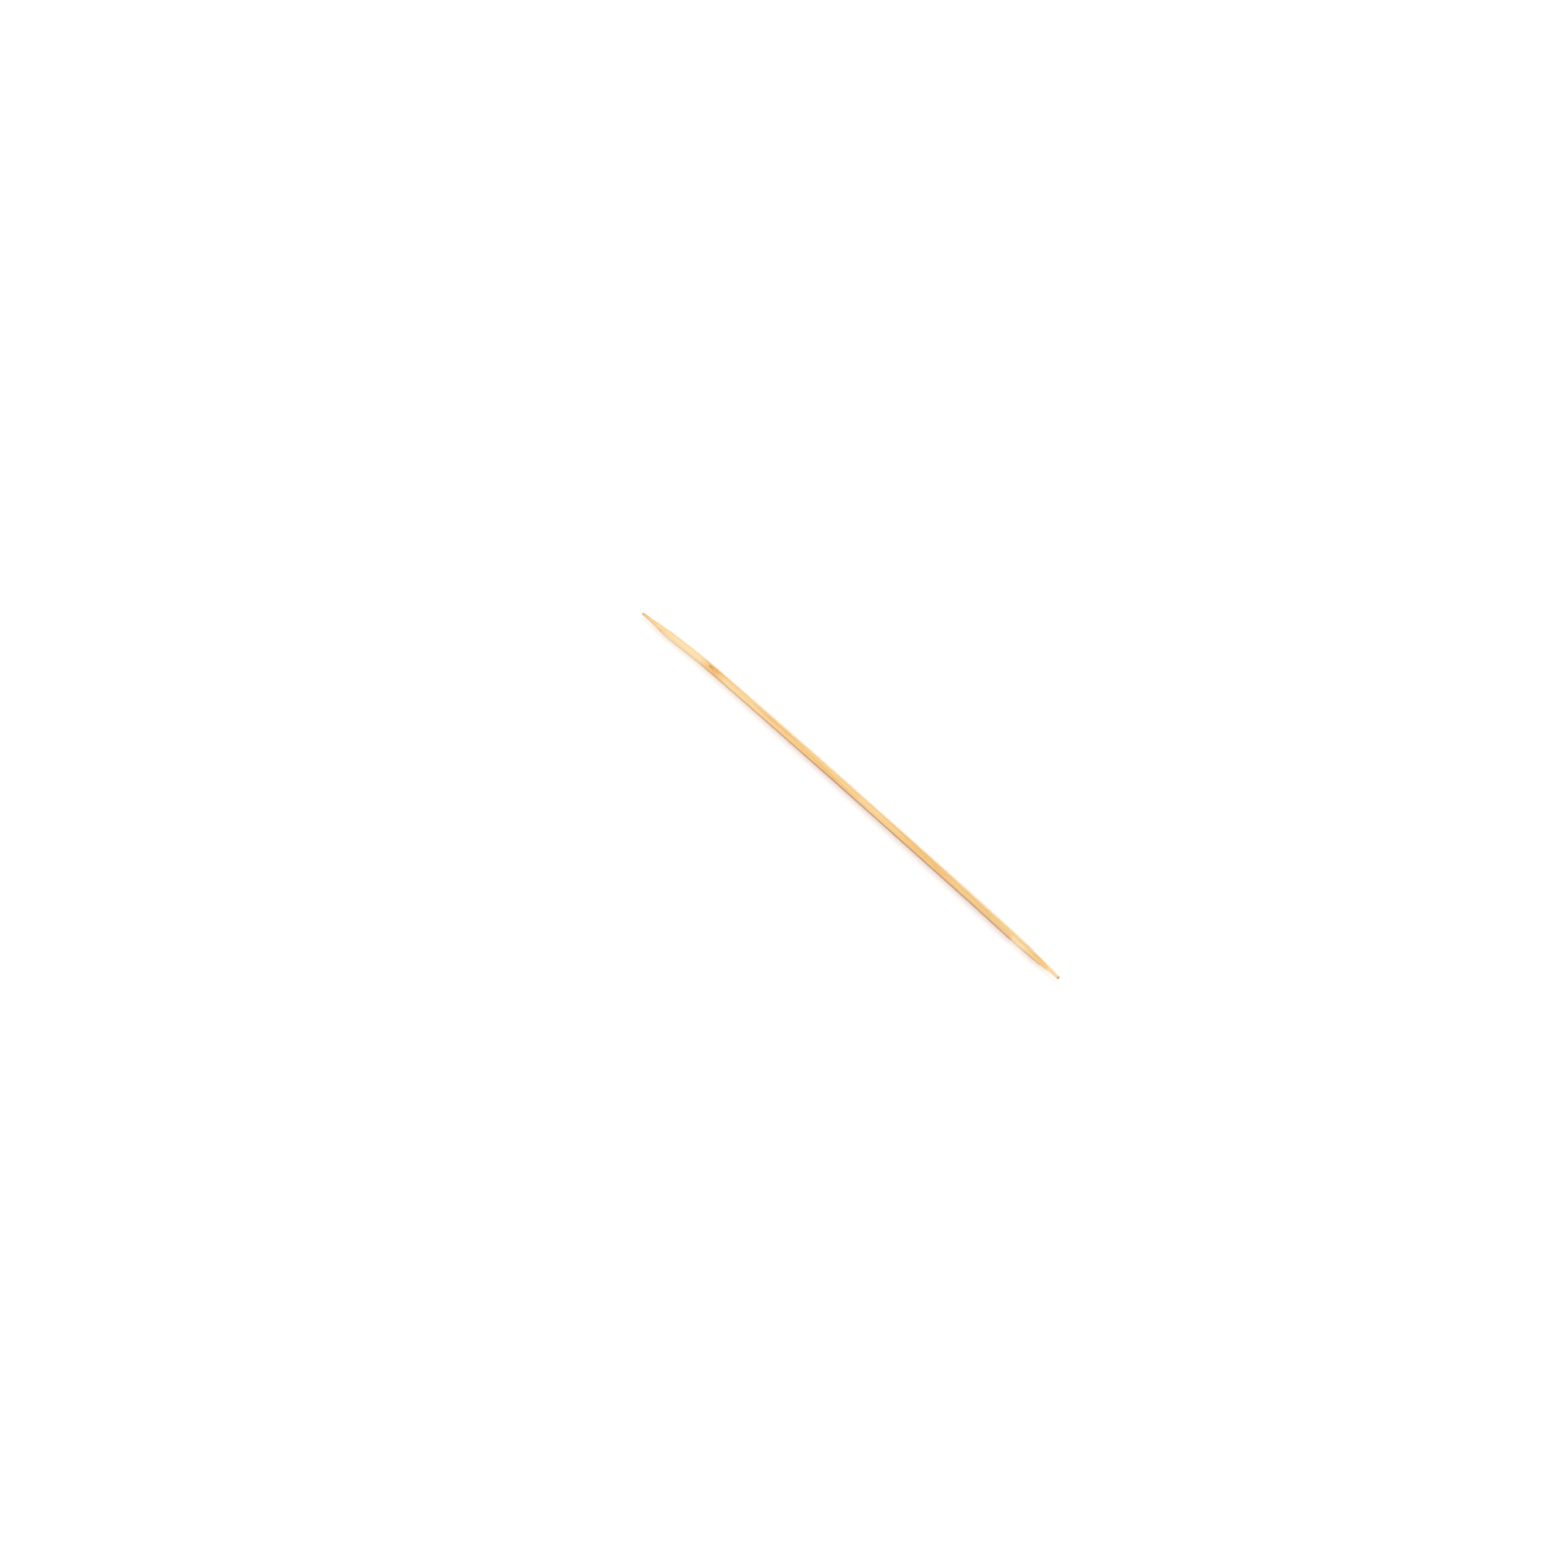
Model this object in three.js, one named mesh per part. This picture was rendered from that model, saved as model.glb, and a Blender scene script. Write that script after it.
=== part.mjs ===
// A bamboo stick, pointed at both ends, lying as it comes to rest.
//
// It is one splint of split bamboo: pulled through a round die, cut to length, and then ground to a
// long point at each end. The grinding leaves a slim nib with a blunt cut end, so that it pierces
// food without splitting. Dried bamboo is never quite straight, so the stick bows sideways, and its
// far end leans back a little where the splint gave way under the grinding.
//
// Frame, in millimetres: the stick lies along X on the plane z = 0, far tip at -X and near tip at +X.
// The bow is sideways, toward +Y. The origin is under the middle of the stick's box.

import * as THREE from 'three';

// The shaft
const LENGTH = 200;
const DIAMETER = 2.5;

// The far point
const FAR_POINT_LENGTH = 16;
const FAR_NIB_LENGTH = 3;
const FAR_NIB_ROOT_DIAMETER = 0.92;
const FAR_NIB_END_DIAMETER = 0.64;

// The near point, ground longer
const NEAR_POINT_LENGTH = 22;
const NEAR_NIB_LENGTH = 4.4;
const NEAR_NIB_ROOT_DIAMETER = 0.98;
const NEAR_NIB_END_DIAMETER = 0.68;

// Both points: the small step where the nib meets the cone, and how full the cone's side is
const NIB_STEP = 0.1;
const NIB_STEP_LENGTH = 0.35;
const POINT_FULLNESS = 1.6;

// The sideways bow, and where the far end starts to lean back
const BOW = 1.35;
const BOW_PEAK_FROM_FAR_TIP = 60;
const LEAN_FROM_FAR_TIP = 26;

// How finely the solid is faceted. The bow is so slight that long straight runs follow the shaft.
const SIDES = 16;
const POINT_STATION_GAP = 1;
const SHAFT_STATION_GAP = 38;

const farPoint = {
  length: FAR_POINT_LENGTH,
  nibLength: FAR_NIB_LENGTH,
  rootRadius: FAR_NIB_ROOT_DIAMETER / 2,
  endRadius: FAR_NIB_END_DIAMETER / 2,
};
const nearPoint = {
  length: NEAR_POINT_LENGTH,
  nibLength: NEAR_NIB_LENGTH,
  rootRadius: NEAR_NIB_ROOT_DIAMETER / 2,
  endRadius: NEAR_NIB_END_DIAMETER / 2,
};

// The radius of a point, this far from its cut end: the nib, the step, and then the ground cone,
// which is steep at the nib and runs out softly into the shaft.
function pointRadius(point, fromEnd) {
  const stepEnd = point.nibLength + NIB_STEP_LENGTH;
  if (fromEnd <= point.nibLength) {
    return THREE.MathUtils.lerp(point.endRadius, point.rootRadius, fromEnd / point.nibLength);
  }
  const coneStart = point.rootRadius + NIB_STEP / 2;
  if (fromEnd <= stepEnd) {
    const climb = (fromEnd - point.nibLength) / NIB_STEP_LENGTH;
    return THREE.MathUtils.lerp(point.rootRadius, coneStart, climb);
  }
  const along = Math.min((fromEnd - stepEnd) / (point.length - stepEnd), 1);
  const rise = 1 - (1 - along) ** POINT_FULLNESS;
  return THREE.MathUtils.lerp(coneStart, DIAMETER / 2, rise);
}

// The stick's radius, this far from the far tip.
function radiusAt(fromFar) {
  return Math.min(pointRadius(farPoint, fromFar), pointRadius(nearPoint, LENGTH - fromFar));
}

// The bow alone: a flat arc that is highest at its peak and comes down to the near tip.
function arcAt(fromFar) {
  const share = (fromFar - BOW_PEAK_FROM_FAR_TIP) / (LENGTH - BOW_PEAK_FROM_FAR_TIP);
  return BOW * (1 - share ** 2);
}

// How far the stick's middle line stands off the straight line between its tips: the arc, and from
// the lean outward a straight run down to the far tip.
function offsetAt(fromFar) {
  const straight = (arcAt(LEAN_FROM_FAR_TIP) * fromFar) / LEAN_FROM_FAR_TIP;
  return fromFar < LEAN_FROM_FAR_TIP ? straight : arcAt(fromFar);
}

// Evenly spaced places from one to another, no further apart than the gap, without the last.
function placesBetween(from, to, gap) {
  const count = Math.max(1, Math.ceil((to - from) / gap));
  return Array.from({ length: count }, (_, i) => from + ((to - from) * i) / count);
}

// Where the stick's section is drawn, measured from the far tip: at every change of form, and
// between them as closely as the form asks.
function stations() {
  const marks = [
    [0, POINT_STATION_GAP],
    [FAR_NIB_LENGTH, NIB_STEP_LENGTH],
    [FAR_NIB_LENGTH + NIB_STEP_LENGTH, POINT_STATION_GAP],
    [FAR_POINT_LENGTH, SHAFT_STATION_GAP],
    [LEAN_FROM_FAR_TIP, SHAFT_STATION_GAP],
    [LENGTH - NEAR_POINT_LENGTH, POINT_STATION_GAP],
    [LENGTH - NEAR_NIB_LENGTH - NIB_STEP_LENGTH, NIB_STEP_LENGTH],
    [LENGTH - NEAR_NIB_LENGTH, POINT_STATION_GAP],
    [LENGTH, 0],
  ];
  const places = [];
  for (let i = 0; i < marks.length - 1; i += 1) {
    places.push(...placesBetween(marks[i][0], marks[i + 1][0], marks[i][1]));
  }
  return [...places, LENGTH];
}

// The closed solid: a many-sided section with one side flat down, swept along the middle line, and
// a flat cut face square to X at each end.
function stickGeometry() {
  const places = stations();
  const positions = [];
  const faces = [];
  for (const fromFar of places) {
    const cornerRadius = radiusAt(fromFar) / Math.cos(Math.PI / SIDES);
    for (let side = 0; side < SIDES; side += 1) {
      const angle = ((side - 0.5) * 2 * Math.PI) / SIDES - Math.PI / 2;
      const y = offsetAt(fromFar) + cornerRadius * Math.cos(angle);
      const z = DIAMETER / 2 + cornerRadius * Math.sin(angle);
      positions.push(fromFar, y, z);
    }
  }
  for (let ring = 0; ring < places.length - 1; ring += 1) {
    for (let side = 0; side < SIDES; side += 1) {
      const here = ring * SIDES + side;
      const beside = ring * SIDES + ((side + 1) % SIDES);
      faces.push(here, beside, here + SIDES);
      faces.push(beside, beside + SIDES, here + SIDES);
    }
  }
  const lastRing = (places.length - 1) * SIDES;
  for (let side = 1; side < SIDES - 1; side += 1) {
    faces.push(0, side + 1, side);
    faces.push(lastRing, lastRing + side, lastRing + side + 1);
  }
  const geometry = new THREE.BufferGeometry();
  geometry.setAttribute('position', new THREE.Float32BufferAttribute(positions, 3));
  geometry.setIndex(faces);
  geometry.computeVertexNormals();
  return geometry;
}

// Moves the stick so that the origin is under the middle of its box.
function overOrigin(geometry) {
  geometry.computeBoundingBox();
  const { min, max } = geometry.boundingBox;
  geometry.translate(-(min.x + max.x) / 2, -(min.y + max.y) / 2, -min.z);
  return geometry;
}

const bamboo = new THREE.MeshStandardMaterial({ color: '#e8c88f', roughness: 0.62, metalness: 0 });

const stick = new THREE.Mesh(overOrigin(stickGeometry()), bamboo);
stick.name = 'bamboo_stick';

const group = new THREE.Group();
group.add(stick);

export default group;
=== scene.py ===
# %% [markdown]
# # One bamboo stick, pointed at both ends
#
# The real stick is a splint of split bamboo, drawn through a round die and ground to a point at each
# end. Its exact solid is already built, and everything here is fitted around it in the same frame:
# metres, the stick along X, +Z up, lying on the plane z = 0. This first cell loads that solid and
# keeps its box, which gives the stick's sizes.

# %% Load the solid and keep its box
import math

import bpy
import numpy as np
from mathutils import Matrix, Vector


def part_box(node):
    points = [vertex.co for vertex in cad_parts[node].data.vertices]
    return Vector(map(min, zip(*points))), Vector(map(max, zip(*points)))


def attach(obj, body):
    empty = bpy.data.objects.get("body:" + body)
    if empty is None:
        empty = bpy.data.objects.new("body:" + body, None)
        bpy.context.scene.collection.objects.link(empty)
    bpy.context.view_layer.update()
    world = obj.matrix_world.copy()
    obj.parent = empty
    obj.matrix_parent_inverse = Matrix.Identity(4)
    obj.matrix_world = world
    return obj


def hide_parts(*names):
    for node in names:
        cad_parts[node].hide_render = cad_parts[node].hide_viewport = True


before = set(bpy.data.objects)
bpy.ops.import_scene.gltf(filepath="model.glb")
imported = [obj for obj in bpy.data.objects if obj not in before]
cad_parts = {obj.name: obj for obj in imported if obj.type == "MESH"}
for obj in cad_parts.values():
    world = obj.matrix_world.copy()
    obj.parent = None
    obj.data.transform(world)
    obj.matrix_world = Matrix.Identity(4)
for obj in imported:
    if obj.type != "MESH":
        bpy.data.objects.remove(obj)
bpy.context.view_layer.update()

# %% [markdown]
# ## The sizes that shape the stick
#
# Only a few numbers drive the form. The length and the thickness are read from the solid's box, and
# the lengths of the points repeat the solid's own. All shaping is done in millimetres, mostly measured
# from the far tip, and the mesh is scaled to metres once, when it is written.

# %% Sizes in millimetres
MM = 0.001
splint_low, splint_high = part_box("bamboo_stick")
LENGTH = (splint_high.x - splint_low.x) / MM
DIAMETER = (splint_high.z - splint_low.z) / MM
HALF = DIAMETER / 2
FAR_POINT_LENGTH = 16.0
NEAR_POINT_LENGTH = 22.0
print(f"stick {LENGTH:.1f} mm by {DIAMETER:.2f} mm")

# %% [markdown]
# ## The middle line
#
# Dried bamboo is never quite straight. The stick bows sideways in one flat arc, and its far end leans
# back in a straight run. A spline through a few hand-placed points could follow that too, but an arc
# and a straight line have sizes that can be measured and named. A real stick has no sharp corner where
# they meet, so the lower of the two is taken with its corner rounded. Two small terms more, a sag of
# the far end and a sway before the near point, bring its edges to within about a tenth of a millimetre
# of the real ones, wherever those can be seen clearly.

# %% The middle line's sideways offset
BOW, BOW_PEAK = 1.35, 60.0
LEAN_START, LEAN_ROUNDING = 26.0, 0.26
FAR_SAG, SAG_PEAK, SAG_REACH, SAG_FADE = 0.08, 15, 9, (22, 42)
NEAR_SWAY, SWAY_PEAK, SWAY_REACH = 0.05, 158, 14


def smooth_step(value, start, end):
    """0 before start, 1 after end, and an even S between them."""
    share = np.clip((value - start) / (end - start), 0, 1)
    return share * share * (3 - 2 * share)


def bell(value, middle, reach):
    """1 at the middle, and softly down to nothing on both sides."""
    return np.exp(-((value - middle) / reach) ** 2)


def arc_at(from_far):
    """The bow alone, highest at its peak and down to nothing at the near tip."""
    return BOW * (1 - ((from_far - BOW_PEAK) / (LENGTH - BOW_PEAK)) ** 2)


def middle_line(from_far):
    """How far the stick's middle stands off the straight line between its tips."""
    straight = arc_at(LEAN_START) * from_far / LEAN_START
    share = np.clip(0.5 + (straight - arc_at(from_far)) / LEAN_ROUNDING / 2, 0, 1)
    lower = straight * (1 - share) + arc_at(from_far) * share - LEAN_ROUNDING * share * (1 - share)
    sag = FAR_SAG * (1 + bell(from_far, SAG_PEAK, SAG_REACH)) * (1 - smooth_step(from_far, *SAG_FADE))
    return lower - sag + NEAR_SWAY * bell(from_far, SWAY_PEAK, SWAY_REACH)


print("the middle line at the bow's peak, mm:", round(float(middle_line(BOW_PEAK)), 2))

# %% [markdown]
# The solid's box gives the place of the line between the tips: it reaches past that line by the bow
# and by half the thickness. The near point is fuller on its -Y side than the solid's, so the whole line
# is moved a hundredth of a millimetre toward +Y, which keeps the stick centred in its box.

# %% Where the tips stand
CENTRING = 0.0105
TIP_Y = splint_high.y / MM - BOW - HALF + CENTRING
print("tips at y, mm:", round(TIP_Y, 3))

# %% [markdown]
# ## The camera
#
# The photograph is taken from well above, with a long lens and no roll. Two things are known well:
# the pixel where each tip shows, and how far apart the tips are. A ray through each pixel meets the
# plane of the tips at a distance that grows with the camera's height, so the known length gives the
# height, and the direction between the two meeting points gives the azimuth. This is easier to trust
# than moving a camera about by eye.

# %% Stand the camera where both tips fall on their pixels
FRAME_SIDE = 1932
FAR_TIP_PIXEL = (792.5, 756.0)
NEAR_TIP_PIXEL = (1304.0, 1205.0)
FOCAL_PIXELS = 5000.0
CAMERA_ELEVATION = math.radians(47.3)
SENSOR_WIDTH = 36.0
SEES_FROM, SEES_TO = 0.05, 20


def ground_hit(pixel):
    """Where a pixel's ray meets the ground, for a camera at height 1: (to the right, ahead)."""
    right = (pixel[0] - FRAME_SIDE / 2) / FOCAL_PIXELS
    up = (FRAME_SIDE / 2 - pixel[1]) / FOCAL_PIXELS
    ahead = math.cos(CAMERA_ELEVATION) + up * math.sin(CAMERA_ELEVATION)
    down = math.sin(CAMERA_ELEVATION) - up * math.cos(CAMERA_ELEVATION)
    return Vector((right / down, ahead / down))


def stand_camera():
    """Makes the camera from the two tips, and returns its azimuth in degrees."""
    far_hit, near_hit = ground_hit(FAR_TIP_PIXEL), ground_hit(NEAR_TIP_PIXEL)
    span = near_hit - far_hit
    height = LENGTH * MM / span.length
    azimuth = -math.atan2(span.y, span.x)
    right = Vector((math.cos(azimuth), math.sin(azimuth), 0))
    ahead = Vector((-math.sin(azimuth), math.cos(azimuth), 0))
    far_tip = Vector((-LENGTH / 2 * MM, TIP_Y * MM, HALF * MM))
    place = far_tip - (right * far_hit.x + ahead * far_hit.y) * height
    place.z += height
    look = ahead * math.cos(CAMERA_ELEVATION) - Vector((0, 0, math.sin(CAMERA_ELEVATION)))
    up = right.cross(look)
    lens = bpy.data.cameras.new("camera")
    lens.sensor_width = SENSOR_WIDTH
    lens.lens = FOCAL_PIXELS / FRAME_SIDE * SENSOR_WIDTH
    lens.clip_start, lens.clip_end = SEES_FROM, SEES_TO
    camera = bpy.data.objects.new("camera", lens)
    turn = Matrix((right, up, -look)).transposed().to_4x4()
    camera.matrix_world = Matrix.Translation(place) @ turn
    bpy.context.scene.collection.objects.link(camera)
    bpy.context.scene.camera = camera
    return math.degrees(azimuth)


print("camera azimuth, degrees:", round(stand_camera(), 2))

# %% [markdown]
# ## Where the rings go
#
# The mesh is a long sleeve of rings. A curve with a round bevel would sweep the stick at once, but each
# of its rings would be a plain circle, and rings that are worked out one by one can carry relief. One
# spacing would be wasted on the plain shaft or too coarse for a nib less than a millimetre thick, so
# the spacing follows the form: close rings on the points, wider ones on the shaft.

# %% Ring places along the stick
POINT_RING_GAP = 0.125
SHAFT_RING_GAP = 0.42
SHOULDER_REACH = 6.0
SIDES = 96


def spaced(start, end, gap):
    """Evenly spaced places from start up to end, without end itself."""
    return np.linspace(start, end, max(1, math.ceil((end - start) / gap)), endpoint=False)


far_shoulder = FAR_POINT_LENGTH + SHOULDER_REACH
near_shoulder = LENGTH - NEAR_POINT_LENGTH - SHOULDER_REACH
ring_places = np.concatenate([
    spaced(0, far_shoulder, POINT_RING_GAP),
    spaced(far_shoulder, near_shoulder, SHAFT_RING_GAP),
    spaced(near_shoulder, LENGTH, POINT_RING_GAP),
    [LENGTH],
])
print("rings:", len(ring_places), "faces in the sleeve:", (len(ring_places) - 1) * SIDES)

# %% [markdown]
# ## How the points are ground
#
# Each point has three runs: a slim nib with a blunt end, a step, and a cone that runs out in one or two
# low steps where the grinding wheel was lifted. The wheel never bites evenly. The side toward +Y is
# ground lower than the side toward -Y, and the near nib is undercut on the -Y side. A turned profile
# would be the same all round, so each point is two outlines instead, one for each side, and every
# radius round the ring lies between them.

# %% The outlines of the points, as places from the tip with the radius toward +Y and toward -Y
NEAR_OUTLINE = (
    (0.0, 0.45, 0.40), (1.6, 0.50, 0.43), (3.1, 0.56, 0.47), (4.3, 0.60, 0.54), (4.9, 0.65, 0.69),
    (6.0, 0.70, 0.77), (7.5, 0.80, 0.86), (9.0, 0.86, 0.95), (10.5, 0.89, 1.03), (12.0, 0.92, 1.09),
    (13.2, 1.03, 1.11), (14.4, 1.14, 1.155), (16.3, 1.17, 1.18), (18.2, 1.21, 1.197),
    (19.6, 1.24, 1.225), (21.5, HALF, HALF),
)
FAR_OUTLINE = (
    (0.0, 0.43, 0.44), (1.4, 0.46, 0.48), (2.7, 0.49, 0.52), (3.4, 0.53, 0.57), (4.4, 0.60, 0.64),
    (6.2, 0.71, 0.76), (8.8, 0.90, 0.96), (11.5, 1.06, 1.12), (14.1, 1.15, 1.20), (16.0, 1.20, 1.23),
    (18.5, 1.21, 1.23), (21.0, 1.22, 1.24), (26.0, HALF, HALF),
)
GROUND_LOW_SIDE = math.radians(30)


def soft_outline(rows, gap=0.05, softness=0.22, before=1.0, beyond=3.0):
    """An outline's places and two sides as finely spaced values, with its corners rounded."""
    places, low_side, high_side = np.array(rows).T
    fine = np.arange(-before, places[-1] + beyond, gap)
    reach = np.arange(-3 * softness, 3 * softness + gap, gap)
    weights = np.exp(-(reach / softness) ** 2 / 2)
    weights /= weights.sum()
    pad = len(reach) // 2
    shape = [fine]
    for side in (low_side, high_side):
        values = np.pad(np.interp(fine, places, side), pad, mode="edge")
        shape.append(np.convolve(values, weights, mode="valid")[:len(fine)])
    return shape


def point_radius(shape, from_end, angle):
    """The radius round a ring of a point this far from its cut end."""
    low = np.interp(from_end, shape[0], shape[1])
    high = np.interp(from_end, shape[0], shape[2])
    return (low + high) / 2 + (low - high) / 2 * np.cos(angle - GROUND_LOW_SIDE)


NEAR_SHAPE, FAR_SHAPE = soft_outline(NEAR_OUTLINE), soft_outline(FAR_OUTLINE)
print("near nib, mm across at its end:", round(NEAR_OUTLINE[0][1] + NEAR_OUTLINE[0][2], 2))

# %% [markdown]
# ## Fibre relief
#
# Bamboo is a bundle of stiff fibre strands in softer tissue. They run the length of the stick, and the
# die leaves the strands a hair proud of the tissue between them. A bump in the finish alone would
# leave the outline smooth, so the mesh carries them. A strand is a line through the solid, not a stripe
# painted on it, so where a point is ground away new strands come to the surface and old ones run out.
# The relief therefore comes from the surface point's place among strands spread over the cross-section,
# and the points get the right pattern with no special case.

# %% Strands across the section
STRAND_SPACING = 0.24
STRAND_NUDGE = 0.22
grain_dice = np.random.default_rng(11)


def strand_centres():
    """Strand places over the section: a loose triangular lattice with every point nudged."""
    reach = HALF + STRAND_SPACING
    rows = np.arange(-reach, reach, STRAND_SPACING * math.sqrt(3) / 2)
    centres = []
    for number, z in enumerate(rows):
        shift = STRAND_SPACING / 2 * (number % 2)
        for y in np.arange(-reach, reach, STRAND_SPACING):
            centres.append((y + shift, z))
    nudge = grain_dice.normal(0, STRAND_SPACING * STRAND_NUDGE, (len(centres), 2))
    centres = np.array(centres) + nudge
    return centres[np.hypot(*centres.T) < reach]


STRANDS = strand_centres()
STRAND_WANDER = grain_dice.uniform(0, 2 * math.pi, (len(STRANDS), 2))
print("strands through the section:", len(STRANDS))

# %% The relief that the strands give a surface
STRAND_WIDTH = 0.075
STRAND_SWAY, STRAND_SWAY_LENGTH = 0.05, 31


def strand_relief(from_far, y, z):
    """From 0 between strands to 1 on one, for every vertex of a ring at one place."""
    sway = STRAND_SWAY * np.sin(from_far / STRAND_SWAY_LENGTH + STRAND_WANDER)
    away = np.hypot(y[:, None] - STRANDS[:, 0] - sway[:, 0], z[:, None] - STRANDS[:, 1] - sway[:, 1])
    return bell(away.min(axis=1), 0, STRAND_WIDTH)


across_middle = np.linspace(-HALF, HALF, 50)
strand_share = strand_relief(LENGTH / 2, across_middle, np.zeros(50)).mean()
print("share of strand across the middle:", round(strand_share, 2))

# %% [markdown]
# ## Grinding marks
#
# The stick turns against the wheel, which leaves a fine thread of rings, half a millimetre apart and a
# hundredth deep. Where a pass ends it leaves a scalloped lip, a low wave that wanders round the stick.
# These are worked into the mesh too, because they catch the light.

# %% How deep the wheel's marks are
GRIND_RING, GRIND_RING_DEPTH = 0.52, 0.009
GRIND_RUN_OUT = 3
LIPS = ((13.6, 0.030, 0.4), (20.2, 0.026, 2.1), (6.4, 0.022, 4.0))
LIP_WANDER, LIP_REACH = 0.7, 0.55


def grinding(point_length, from_end, angle):
    """How much the wheel's marks take off the surface, for one ring's angles."""
    scale = point_length / NEAR_POINT_LENGTH
    ground = 1 - smooth_step(from_end, point_length - GRIND_RUN_OUT, point_length)
    swirl = np.sin(2 * math.pi * from_end / GRIND_RING + angle)
    cut = GRIND_RING_DEPTH * ground * (0.5 + 0.5 * swirl)
    for lip, depth, turn in LIPS:
        wave = np.sin(angle + turn) + np.sin(3 * angle + 2 * turn) / 2
        cut = cut + depth * bell(from_end, lip * scale + LIP_WANDER * wave, LIP_REACH)
    return cut


print("marks 1 mm from the near tip, mm:", grinding(NEAR_POINT_LENGTH, 1.0, np.zeros(1)).round(4))

# %% [markdown]
# ## One ring of the stick
#
# A ring starts as the plain radius of its place. The die and the wheel take their share off it, and
# then the tissue between the strands sinks. The die leaves narrow flats that wander a little, and the
# section swells and thins by a hundredth of a millimetre or so. These terms only take material away,
# so no ring is thicker than the round die. The ring is set on the middle line later, when all are
# joined. With its uneven grinding and its sag, the skin then stands up to a fifth of a millimetre off
# the exact solid near the tips, but the whole stick stays inside the solid's box.

# %% Make one ring
DIE_FLATS = (
    (98, 0.026), (34, 0.014), (158, 0.020), (186, 0.016), (218, 0.026), (305, 0.022), (352, 0.014),
)
FLAT_DRIFT, FLAT_DRIFT_LENGTH = 5, 37
LEAST_TOWARDS = 0.05
SWELL, SWELL_LENGTHS, SWELL_SHIFT = 0.008, (9.5, 23.0), 1.1
RELIEF = 0.016
POINT_RELIEF_SHARE = 0.35
RING_ANGLES = np.arange(SIDES) * 2 * math.pi / SIDES - math.pi / 2


def ring(from_far):
    """One ring as (section points in mm about the middle line, how much strand each point shows)."""
    angle = RING_ANGLES
    from_near = LENGTH - from_far
    far_radius = point_radius(FAR_SHAPE, from_far, angle)
    radius = np.minimum(far_radius, point_radius(NEAR_SHAPE, from_near, angle))
    share = radius / HALF
    short_wave, long_wave = from_far / SWELL_LENGTHS[0], from_far / SWELL_LENGTHS[1]
    swell = 0.5 - 0.5 * math.sin(short_wave) * math.sin(long_wave + SWELL_SHIFT)
    radius = radius - share * SWELL * swell
    for degrees, depth in DIE_FLATS:
        drift = FLAT_DRIFT * math.sin(from_far / FLAT_DRIFT_LENGTH + degrees)
        towards = np.maximum(np.cos(angle - math.radians(degrees + drift)), LEAST_TOWARDS)
        radius = np.minimum(radius, (HALF - depth) / towards)
    radius -= grinding(FAR_POINT_LENGTH, from_far, angle)
    radius -= grinding(NEAR_POINT_LENGTH, from_near, angle)
    strand = strand_relief(from_far, radius * np.cos(angle), radius * np.sin(angle))
    radius -= RELIEF * (POINT_RELIEF_SHARE + (1 - POINT_RELIEF_SHARE) * share) * (1 - strand)
    return np.column_stack([radius * np.cos(angle), radius * np.sin(angle)]), strand


sample_radius = np.hypot(*ring(LENGTH / 2)[0].T)
print("radius at mid length, mm:", round(sample_radius.min(), 3), "to", round(sample_radius.max(), 3))

# %% [markdown]
# ## The blunt ends
#
# Each nib is snapped or sawn off square, so its end is a tiny rough disc: strands stand out by up to a
# tenth of a millimetre, and the tissue between them is torn away. One flat face would close the
# sleeve, but it would show as a clean cut. The disc is a stack of shrinking rings instead, pushed inward
# by the same strand relief, so nothing reaches past the end of the exact solid.

# %% Make a cut end
END_SHRINKS = (0.94, 0.8, 0.62, 0.42, 0.22)
END_ROUNDING, ROUNDED_INSIDE = 0.03, 0.9
END_TEAR, TEAR_FULLNESS, MIDDLE_TEAR = 0.11, 0.4, 0.6


def cut_end(section, from_far, inward):
    """The rings of one cut end, outermost first, as rows of (along, y, z), and its middle point."""
    rows, strands = [], []
    for shrink in END_SHRINKS:
        points = section * shrink
        strand = strand_relief(from_far, points[:, 0], points[:, 1])
        torn = END_TEAR * (1 - strand) * (1 - shrink) ** TEAR_FULLNESS
        depth = torn + END_ROUNDING * (shrink < ROUNDED_INSIDE)
        rows.append(np.column_stack([from_far + inward * depth, points]))
        strands.append(strand)
    middle = np.array([from_far + inward * END_TEAR * MIDDLE_TEAR, 0.0, 0.0])
    return rows, strands, middle


print("rings in each cut end:", len(END_SHRINKS))

# %% [markdown]
# ## The sleeve becomes a mesh
#
# Rings joined side by side make quads, and each end closes with its shrinking rings and a fan. Beside
# its place, every vertex keeps its place in the straight splint, before the bow: that is the grain
# coordinate, and the finish reads it, so that the fibres in the colour follow the bow as the real ones
# do. The mesh is one closed skin with no loose faces.

# %% Join the rings
def sleeve_faces(count):
    """Quads between rings that follow each other, as rows of four vertex numbers."""
    here = np.arange(count * SIDES).reshape(count, SIDES)
    beside = np.roll(here, -1, axis=1)
    return np.stack([here[:-1], beside[:-1], beside[1:], here[1:]], axis=-1).reshape(-1, 4)


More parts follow.
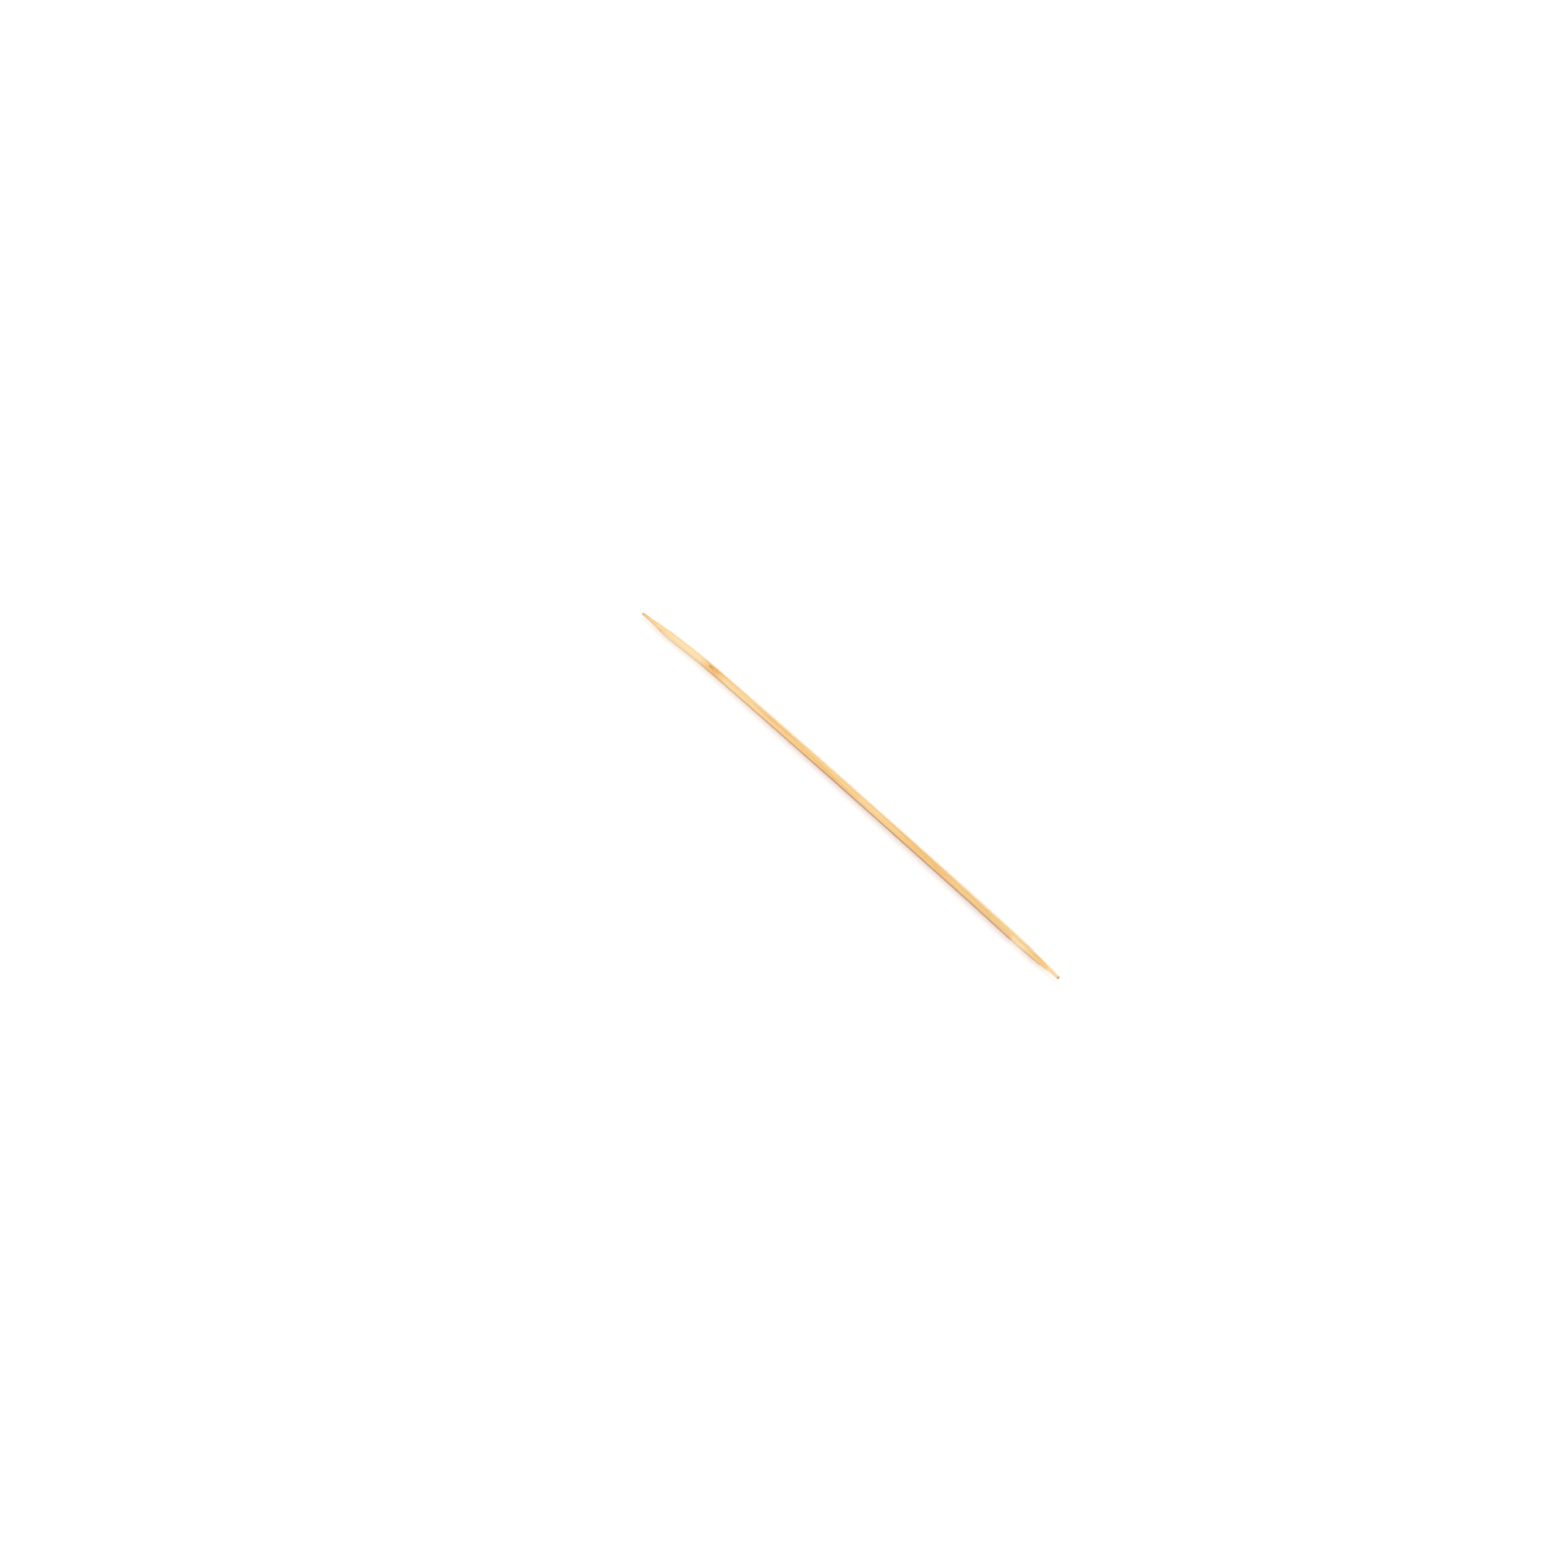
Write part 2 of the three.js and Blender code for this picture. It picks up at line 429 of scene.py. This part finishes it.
def splint_mesh():
    """The whole stick as (vertices in mm, faces, grain coordinates, strand share)."""
    sections = [ring(place) for place in ring_places]
    far_rows, far_strands, far_middle = cut_end(sections[0][0], 0.0, 1)
    near_rows, near_strands, near_middle = cut_end(sections[-1][0], LENGTH, -1)
    rows = far_rows[::-1]
    rows += [np.column_stack([np.full(SIDES, place), section])
             for place, (section, _) in zip(ring_places, sections)]
    rows += near_rows
    strands = far_strands[::-1] + [strand for _, strand in sections] + near_strands
    grain = np.concatenate(rows + [[far_middle], [near_middle]])
    strand = np.concatenate(strands + [[0.5], [0.5]])
    faces = sleeve_faces(len(rows)).tolist()
    far_number, near_number = len(rows) * SIDES, len(rows) * SIDES + 1
    last = (len(rows) - 1) * SIDES
    for side in range(SIDES):
        beside = (side + 1) % SIDES
        faces.append([far_number, beside, side])
        faces.append([near_number, last + side, last + beside])
    place = grain.copy()
    place[:, 0] -= LENGTH / 2
    place[:, 1] += middle_line(grain[:, 0]) + TIP_Y
    place[:, 2] += HALF
    return place, faces, grain, strand


splint_places, splint_faces, splint_grain, splint_strand = splint_mesh()
print("vertices:", len(splint_places), "faces:", len(splint_faces))
print("mesh box, mm:", splint_places.min(axis=0).round(3), splint_places.max(axis=0).round(3))

# %% [markdown]
# Python lists go into a Blender mesh in one call, which is much quicker than an operator for each ring.
# The grain goes in beside the shape, as attributes that a finish can read by name.

# %% Write the mesh into Blender
def new_piece(name, vertices_mm, faces):
    """A smooth-shaded mesh object from vertices in millimetres."""
    mesh = bpy.data.meshes.new(name)
    mesh.from_pydata((vertices_mm * MM).tolist(), [], faces)
    mesh.validate()
    mesh.shade_smooth()
    piece = bpy.data.objects.new(name, mesh)
    bpy.context.scene.collection.objects.link(piece)
    return piece


def keep_grain(piece, grain, strand):
    """Stores each vertex's place in the straight splint, in millimetres, and its strand share."""
    mesh = piece.data
    mesh.attributes.new("grain", "FLOAT_VECTOR", "POINT").data.foreach_set("vector", grain.ravel())
    mesh.attributes.new("strand", "FLOAT", "POINT").data.foreach_set("value", strand)


splint = new_piece("bamboo_splint", splint_places, splint_faces)
keep_grain(splint, splint_grain, splint_strand)
print(splint.name, "has", len(splint.data.polygons), "faces")

# %% [markdown]
# ## Writing shader maths as expressions
#
# A finish is mostly sums: a mask times a streak, one minus that, and so on. Built by hand, each sign is
# a node and two links, and the sense is lost. A small wrapper around a socket lets the sums be written
# as sums. Only numbers go through Math nodes. Colours and vectors go through Mix and Vector Math,
# because a Math node would turn a colour grey.

# %% A socket that can be reckoned with
class Wire:
    """One socket of a finish. Arithmetic on it adds Math nodes to the same tree."""

    def __init__(self, finish, socket):
        self.finish, self.socket = finish, socket

    def _maths(self, operation, first, second=None):
        values = {0: first} if second is None else {0: first, 1: second}
        return self.finish.node("ShaderNodeMath", {"operation": operation}, values)

    def __add__(self, other):
        return self._maths("ADD", self, other)

    def __radd__(self, other):
        return self._maths("ADD", other, self)

    def __sub__(self, other):
        return self._maths("SUBTRACT", self, other)

    def __rsub__(self, other):
        return self._maths("SUBTRACT", other, self)

    def __mul__(self, other):
        return self._maths("MULTIPLY", self, other)

    def __rmul__(self, other):
        return self._maths("MULTIPLY", other, self)

    def __truediv__(self, other):
        return self._maths("DIVIDE", self, other)

    def __rtruediv__(self, other):
        return self._maths("DIVIDE", other, self)

    def at_least(self, other):
        return self._maths("MAXIMUM", self, other)

    def at_most(self, other):
        return self._maths("MINIMUM", self, other)

    def absolute(self):
        return self._maths("ABSOLUTE", self)

    def sine(self):
        return self._maths("SINE", self)

    def ramp(self, start, end, low=0.0, high=1.0):
        """Low up to start and high from end, with an even S between them."""
        settings = {"interpolation_type": "SMOOTHSTEP", "clamp": True}
        sockets = {"Value": self, "From Min": start, "From Max": end, "To Min": low, "To Max": high}
        return self.finish.node("ShaderNodeMapRange", settings, sockets)


print("a wire can also do:", [name for name in vars(Wire) if not name.startswith("_")])

# %% [markdown]
# Every other node is added by one method. It takes the node's type, its settings and its sockets, in
# that order, because some settings, such as an operation or a kind of data, change which sockets a
# node has.

# %% A finish: one material and its nodes
class Finish:
    """A node material, with one method that adds any node."""

    def __init__(self, name):
        self.material = bpy.data.materials.new(name)
        self.material.use_nodes = True
        self.nodes, self.links = self.material.node_tree.nodes, self.material.node_tree.links
        self.nodes.clear()

    def node(self, kind, settings=None, sockets=None, output=None):
        """Adds a node: settings first, then each socket's value or link. Returns one output."""
        added = self.nodes.new(kind)
        for name, value in (settings or {}).items():
            if name == "stops":
                self.draw_curve(added.mapping, value)
            else:
                setattr(added, name, value)
        for name, value in (sockets or {}).items():
            self.put(self.find(added.inputs, name), value)
        return Wire(self, self.find(added.outputs, output))

    @staticmethod
    def draw_curve(mapping, stops):
        """Draws a curve node's curve through its stops, given from the first place to the last."""
        curve = mapping.curves[0]
        for place, height in stops[1:-1]:
            curve.points.new(place, height)
        curve.points[0].location = stops[0]
        curve.points[-1].location = stops[-1]
        mapping.update()

    @staticmethod
    def find(sockets, name):
        """The socket in use with that name or number, or the first in use, if there is any."""
        if isinstance(name, int):
            return sockets[name]
        in_use = [socket for socket in sockets if socket.enabled and not socket.is_unavailable]
        return next((socket for socket in in_use if name in (None, socket.name)), None)

    def put(self, socket, value):
        """Links a wire to a socket, or gives the socket a plain value."""
        if isinstance(value, Wire):
            self.links.new(value.socket, socket)
        else:
            socket.default_value = value

    def end_with(self, surface):
        """Ends the tree with its surface, and returns the material."""
        self.node("ShaderNodeOutputMaterial", None, {"Surface": surface})
        return self.material


print("materials before the first finish:", len(bpy.data.materials))

# %% [markdown]
# Colours, vectors and noises are not sums of numbers, so each gets a short function of its own. A noise
# is stretched by three factors, one for each direction, because bamboo changes slowly along its fibres
# and quickly across them.

# %% Mixing, moving and stretching
def mix(share, first, second):
    """Two colours mixed by a share."""
    sockets = {"Factor": share, "A": first, "B": second}
    return share.finish.node("ShaderNodeMix", {"data_type": "RGBA"}, sockets)


def split(vector):
    """A vector's three parts."""
    first = vector.finish.node("ShaderNodeSeparateXYZ", None, {"Vector": vector}, output="X")
    parts = first.socket.node.outputs
    return first, Wire(vector.finish, parts["Y"]), Wire(vector.finish, parts["Z"])


def moved(vector, distances):
    """A vector moved by three distances, so that two noises don't fall together."""
    return vector.finish.node("ShaderNodeVectorMath", {"operation": "ADD"}, {0: vector, 1: distances})


def stretched(vector, factors):
    """A vector times three factors."""
    return vector.finish.node("ShaderNodeVectorMath", {"operation": "MULTIPLY"}, {0: vector, 1: factors})


def spot(vector, centre, factors):
    """1 at a place and 0 further off, by distances stretched with three factors."""
    away = stretched(moved(vector, [-part for part in centre]), factors)
    settings = {"operation": "LENGTH"}
    far = vector.finish.node("ShaderNodeVectorMath", settings, {0: away}, output="Value")
    return 1 - far.ramp(0.35, 1.0)


def noise(vector, factors, detail=2.0, roughness=0.5):
    """Noise over a vector stretched by three factors, about 0.5 on the mean."""
    place = stretched(vector, factors)
    sockets = {"Vector": place, "Scale": 1.0, "Detail": detail, "Roughness": roughness}
    return vector.finish.node("ShaderNodeTexNoise", None, sockets)


def colour(red, green, blue):
    """An sRGB colour, each from 0 to 255, as Blender's linear RGBA."""
    shares = [value / 255 for value in (red, green, blue)]
    linear = [share / 12.92 if share <= 0.04045 else ((share + 0.055) / 1.055) ** 2.4 for share in shares]
    return (*linear, 1.0)


print("half grey, linear:", round(colour(128, 128, 128)[0], 3))

# %% [markdown]
# ## The bamboo's tones
#
# Raw bamboo has no coat, so its colour is all in the cane: pale straw tissue, honey strands, and slow
# drifts from paler to deeper gold over a few centimetres. Behind its browner tip the far point is
# palest, a short gold patch follows it, and from there straw and gold change places every few
# centimetres. A noise could drift like that, but a few places with a warmth each are easier to correct,
# so the slow drift is a short curve, and the rest is noise.

# %% Tones and the slow drift
STRAW = colour(250, 224, 174)
GOLD = colour(243, 198, 122)
HONEY = colour(228, 166, 82)
FIBRE_BROWN = colour(178, 122, 58)
WARMTH = (
    (0, 0.62), (10, 0.28), (26, 0.12), (36, 0.88), (43, 0.28), (58, 0.46), (68, 0.74), (98, 0.94),
    (112, 0.44), (136, 0.92), (166, 0.54), (182, 0.50), (194, 0.84), (200, 0.50),
)


def slow_warmth(along):
    """How warm the cane is along its length, from 0 for straw to 1 for gold."""
    whole = WARMTH[-1][0]
    stops = [(place / whole, warmth) for place, warmth in WARMTH]
    return along.finish.node("ShaderNodeFloatCurve", {"stops": stops}, {"Value": along / LENGTH})


print("places on the drift:", len(WARMTH), "straw, linear:", [round(part, 3) for part in STRAW[:3]])

# %% [markdown]
# ## Layers of colour
#
# The cane's own colour goes on in layers: first the drift, then broad honey streaks about half a
# millimetre wide, pale ones between them, fine ones, a few dark fibres, soft blotches, and last the
# strands themselves, which the mesh already knows. The streaks are drawn out about a hundred and twenty
# times along the stick. A picture wrapped round the stick would shrink with it toward the tips. These
# noises fill the solid, so a ground point cuts through the streaks, as it does through real fibres.

# %% Streaks and strands, with how often each noise changes in a millimetre along, across and up
DRIFT_GRAIN = (0.05, 0.5, 0.5)
BROAD_GRAIN = (0.016, 1.9, 1.9)
PALE_GRAIN = (0.02, 2.4, 2.4)
FINE_GRAIN = (0.045, 5.5, 5.5)
DARK_GRAIN = (0.03, 3.6, 3.6)
BLOTCH_GRAIN = (0.3, 0.7, 0.7)


def fibre_colour(grain, strand, along):
    """The cane's own colour, before anything was done to its surface, and its fine streaks."""
    drift = noise(grain, DRIFT_GRAIN, detail=1.0)
    warm = (slow_warmth(along) + (drift - 0.5) * 0.4).at_least(0).at_most(1)
    tone = mix(warm, STRAW, GOLD)
    depth = 0.3 + warm * 0.7
    broad = noise(grain, BROAD_GRAIN, roughness=0.6).ramp(0.46, 0.66)
    tone = mix(broad * depth * 0.6, tone, HONEY)
    pale = noise(moved(grain, (40, 9, 5)), PALE_GRAIN).ramp(0.5, 0.66)
    tone = mix(pale * 0.7, tone, STRAW)
    fine = noise(moved(grain, (7, 3, 8)), FINE_GRAIN, detail=3.0, roughness=0.65)
    tone = mix(fine.ramp(0.5, 0.68) * depth * 0.6, tone, HONEY)
    dark = noise(moved(grain, (90, 1, 2)), DARK_GRAIN).ramp(0.57, 0.7)
    tone = mix(dark * depth * 0.55, tone, FIBRE_BROWN)
    blotch = noise(moved(grain, (3, 60, 4)), BLOTCH_GRAIN).ramp(0.52, 0.68)
    tone = mix(blotch * depth * 0.2, tone, HONEY)
    return mix(strand * 0.2, tone, HONEY), fine


print("broad streaks are drawn out", round(BROAD_GRAIN[1] / BROAD_GRAIN[0]), "times")

# %% [markdown]
# ## The sides of the shaft
#
# The side of the shaft toward -Y and down is painted browner, as shade along its foot, and the side
# about across from it is painted paler, as a highlight along its top. A dark vein runs along the top
# toward the near point. Each is a band at one angle round the section, so it needs no picture: how far
# a place faces that way gives it.

# %% Painted shade, painted highlight and vein
SHADE_BROWN = colour(198, 128, 52)
SHADED_SIDE, HIGHLIGHT_SIDE, VEIN_SIDE = 212, 48, 117
SHADE_GROWS = (8, 110)
HIGHLIGHT_RUN, VEIN_RUN = (60, 196), (132, 193)


def facing(across, height, degrees):
    """About 1 on the side of the shaft that faces this way round the section, -1 on the other."""
    turn = math.radians(degrees)
    return (across * math.cos(turn) + height * math.sin(turn)) / HALF


def window(value, start, end, soft):
    """1 between start and end, 0 outside, soft at both."""
    return value.ramp(start - soft, start + soft) * (1 - value.ramp(end - soft, end + soft))


def side_tones(tone, grain, along, across, height):
    """Painted shade below, a painted highlight above, and the vein, laid over the fibre colour."""
    # painted shade: the side toward -Y and down is browned as shade along the foot, more toward the near
    # end
    painted_shade = facing(across, height, SHADED_SIDE).ramp(0.5, 0.9) * along.ramp(*SHADE_GROWS, 0.35, 1.0)
    tone = mix(painted_shade * 0.85, tone, SHADE_BROWN)
    # painted highlight: the side toward +Y and up is paled with straw over the shaft, as light along its
    # top
    pale = facing(across, height, HIGHLIGHT_SIDE).ramp(0.72, 0.98) * window(along, *HIGHLIGHT_RUN, 14)
    tone = mix(pale * 0.55, tone, STRAW)
    sway = noise(grain, (0.03, 0.1, 0.1), detail=1.0) - 0.5
    beside_vein = (facing(across, height, VEIN_SIDE - 90) + sway * 0.5).absolute()
    vein = (1 - beside_vein.ramp(0.02, 0.09)) * window(along, *VEIN_RUN, 7) * height.ramp(0, 0.4)
    return mix(vein * 0.5, tone, FIBRE_BROWN)


print("the skin side faces", SHADED_SIDE, "degrees, the pale side", HIGHLIGHT_SIDE)

# %% [markdown]
# ## Fresh wood where the wheel bit
#
# The wheel leaves fresh, pale wood with a ragged edge, crossed by its fine rings: on the shoulder of
# the near point, mostly on one side, and more faintly over the far point's. The near nib is paler than
# its cone, and the far tip is browner. A hard-edged mask would look painted, so a noise pushes its edge
# to and fro, and the same noise fades the rings in and out.

# %% Bites, nib and tip
FRESH_CUT = colour(252, 230, 188)
NEAR_BITE_FROM, NEAR_BITE_TO = (LENGTH - 21.0, LENGTH - 20.2), (LENGTH - 18, LENGTH - 9)
FAR_BITE_RUN = (12, 29.5)
NEAR_BITE_SIDE, FAR_BITE_SIDE = 186, 130
RAGGED_GRAIN, RAGGED_REACH = (0.5, 1.6, 1.6), 5
NIB_PALE_FROM = (LENGTH - 5.4, LENGTH - 3.9)
TIP_BROWN_TO = (0.3, 6.5)


def ground_tones(tone, grain, along, across, height):
    """The wheel's bites with their rings, the pale near nib and the brown far tip."""
    ragged = noise(grain, RAGGED_GRAIN) - 0.5
    bitten = along + ragged * RAGGED_REACH
    near_side = (facing(across, height, NEAR_BITE_SIDE) + ragged * 0.5).ramp(0.1, 0.5, 0.35, 1.0)
    near_bite = bitten.ramp(*NEAR_BITE_FROM) * (1 - bitten.ramp(*NEAR_BITE_TO)) * near_side
    far_side = facing(across, height, FAR_BITE_SIDE).ramp(-0.2, 0.6)
    far_bite = window(bitten, *FAR_BITE_RUN, 2.5) * far_side
    rings = ((along + ragged * 0.9) * (2 * math.pi / GRIND_RING)).sine() * ragged.absolute()
    fresh = (near_bite * 0.85).at_least(far_bite * 0.45) * (0.66 + rings * 0.9).at_most(1)
    tone = mix(fresh, tone, FRESH_CUT)
    tone = mix(along.ramp(*NIB_PALE_FROM) * 0.34, tone, FRESH_CUT)
    return mix((1 - along.ramp(*TIP_BROWN_TO)) * 0.4, tone, HONEY)


print("the near bite starts", round(LENGTH - NEAR_BITE_FROM[0], 1), "mm from the near tip")

# %% [markdown]
# ## Fleck and sawn ends
#
# There is one small brown fleck, about 34 mm from the far tip, with a honey smudge beside it, and the
# sawn ends are stained grey-brown. The fleck lies at one place of the solid, so a stretched distance
# from that place draws it.

# %% Fleck, smudge and stained ends
FLECK_BROWN = colour(134, 80, 34)
STAIN = colour(160, 120, 72)
FLECK, FLECK_STRETCH = (33.8, -0.26, 1.21), (0.62, 2.4, 2.4)
SMUDGE, SMUDGE_STRETCH = (35.6, -0.3, 1.1), (0.3, 0.8, 0.8)
FAR_STAIN_TO, NEAR_STAIN_FROM = (0.03, 0.3), (LENGTH - 0.4, LENGTH - 0.05)


def spot_tones(tone, grain, along):
    """The fleck with its smudge, and the stain on both ends."""
    tone = mix(spot(grain, FLECK, FLECK_STRETCH) * 0.66, tone, FLECK_BROWN)
    tone = mix(spot(grain, SMUDGE, SMUDGE_STRETCH) * 0.6, tone, HONEY)
    ends = (1 - along.ramp(*FAR_STAIN_TO)) * 0.5 + along.ramp(*NEAR_STAIN_FROM) * 0.7
    return mix(ends, tone, STAIN)


print("fleck, mm from the far tip:", FLECK[0])

# %% [markdown]
# ## The finish put together
#
# The dry wood has a faint silky sheen: fairly rough, a little smoother on the strands than on the
# tissue between them. The finest fibres are too small for the mesh, so a very low bump carries them.

# %% Make the finish and give it to the stick
BUMP_DEPTH = 0.00003


def bamboo_finish():
    """The stick's finish, all of it read from the grain coordinates."""
    finish = Finish("raw_bamboo")
    grain = finish.node("ShaderNodeAttribute", {"attribute_name": "grain"}, output="Vector")
    strand = finish.node("ShaderNodeAttribute", {"attribute_name": "strand"}, output="Fac")
    along, across, height = split(grain)
    tone, fine = fibre_colour(grain, strand, along)
    tone = side_tones(tone, grain, along, across, height)
    tone = ground_tones(tone, grain, along, across, height)
    tone = spot_tones(tone, grain, along)
    relief = fine * 0.7 + strand * 0.3
    bump_sockets = {"Strength": 0.6, "Distance": BUMP_DEPTH, "Height": relief}
    bump = finish.node("ShaderNodeBump", None, bump_sockets)
    rough = 0.46 + fine * 0.3 - strand * 0.06
    surface = finish.node("ShaderNodeBsdfPrincipled", None, {
        "Base Color": tone, "Roughness": rough, "Normal": bump, "Specular IOR Level": 0.35})
    return finish.end_with(surface)


splint.data.materials.append(bamboo_finish())
print("finish:", splint.data.materials[0].name, len(splint.data.materials[0].node_tree.nodes), "nodes")

# %% [markdown]
# ## Riding on the solid
#
# The new mesh stands for the plain solid, which is then hidden, and it rides on the same body.

# %% Attach the stick
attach(splint, "root")
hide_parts("bamboo_stick")
print("rides on root, in place of bamboo_stick")

# %% [markdown]
# ## The floor
#
# The stick lies on plain white. The floor is a white plane with a little glow that only camera, glossy
# and transmission rays see: it lifts the open floor to white, and leaves the shadow. More light would
# whiten the floor too, but it would bleach the stick. The plane lies a fiftieth of a millimetre below
# the stick, so that the two surfaces don't fight for the same place.

# %% Lay the floor
FLOOR_HALF = 6.0
FLOOR_DROP = 0.00002
FLOOR_GLOW = 0.12
SEEN_BY = ("Camera", "Glossy", "Transmission")


def floor_finish():
    """White, with a glow for the rays that show the background."""
    finish = Finish("white_floor")
    seen = sum(finish.node("ShaderNodeLightPath", output=f"Is {kind} Ray") for kind in SEEN_BY)
    body = finish.node("ShaderNodeBsdfDiffuse", None, {"Color": colour(240, 240, 241)})
    glow_sockets = {"Color": (1, 1, 1, 1), "Strength": seen * FLOOR_GLOW}
    glow = finish.node("ShaderNodeEmission", None, glow_sockets)
    return finish.end_with(finish.node("ShaderNodeAddShader", None, {0: body, 1: glow}))


def lay_floor():
    """A wide square under the stick, attached to no body."""
    corners = [(-FLOOR_HALF, -FLOOR_HALF, 0), (FLOOR_HALF, -FLOOR_HALF, 0),
               (FLOOR_HALF, FLOOR_HALF, 0), (-FLOOR_HALF, FLOOR_HALF, 0)]
    mesh = bpy.data.meshes.new("floor")
    mesh.from_pydata(corners, [], [(0, 1, 2, 3)])
    mesh.materials.append(floor_finish())
    floor = bpy.data.objects.new("floor", mesh)
    floor.location.z = -FLOOR_DROP
    bpy.context.scene.collection.objects.link(floor)
    return floor


print("floor:", lay_floor().name)

# %% [markdown]
# ## The light
#
# A key light comes from behind the camera and a little to its left, a weaker fill from across the
# stick, and a plain white sky from all round. So the stick's face is evenly bright, and only a soft
# shade shows along its foot. Suns are used, because their light is the same all along a long thin
# piece, where a nearby lamp would fade from one tip to the other.

# %% Hang the lights
SUNS = (
    ("key", 1.36, 26, (0.33, -0.50, 0.80)),
    ("fill", 0.50, 40, (-0.2, 0.62, 0.76)),
)
SKY_STRENGTH = 0.6


def hang_sun(name, strength, softness, toward):
    """A sun that shines from a direction, softened by its angle in degrees."""
    lamp = bpy.data.lights.new(name, "SUN")
    lamp.energy = strength
    lamp.angle = math.radians(softness)
    sun = bpy.data.objects.new(name, lamp)
    sun.rotation_euler = Vector(toward).to_track_quat("Z", "Y").to_euler()
    bpy.context.scene.collection.objects.link(sun)


def light_the_sky(strength):
    """An even white sky."""
    world = bpy.data.worlds.new("sky")
    bpy.context.scene.world = world
    world.use_nodes = True
    world.node_tree.nodes["Background"].inputs["Color"].default_value = (1, 1, 1, 1)
    world.node_tree.nodes["Background"].inputs["Strength"].default_value = strength


for name, strength, softness, toward in SUNS:
    hang_sun(name, strength, softness, toward)
    print(name, "light:", strength, "from", toward)
light_the_sky(SKY_STRENGTH)
bpy.context.scene.view_settings.view_transform = "Standard"

# %% [markdown]
# ## Last: the box
#
# The finished model has to lie inside the exact solid's box.
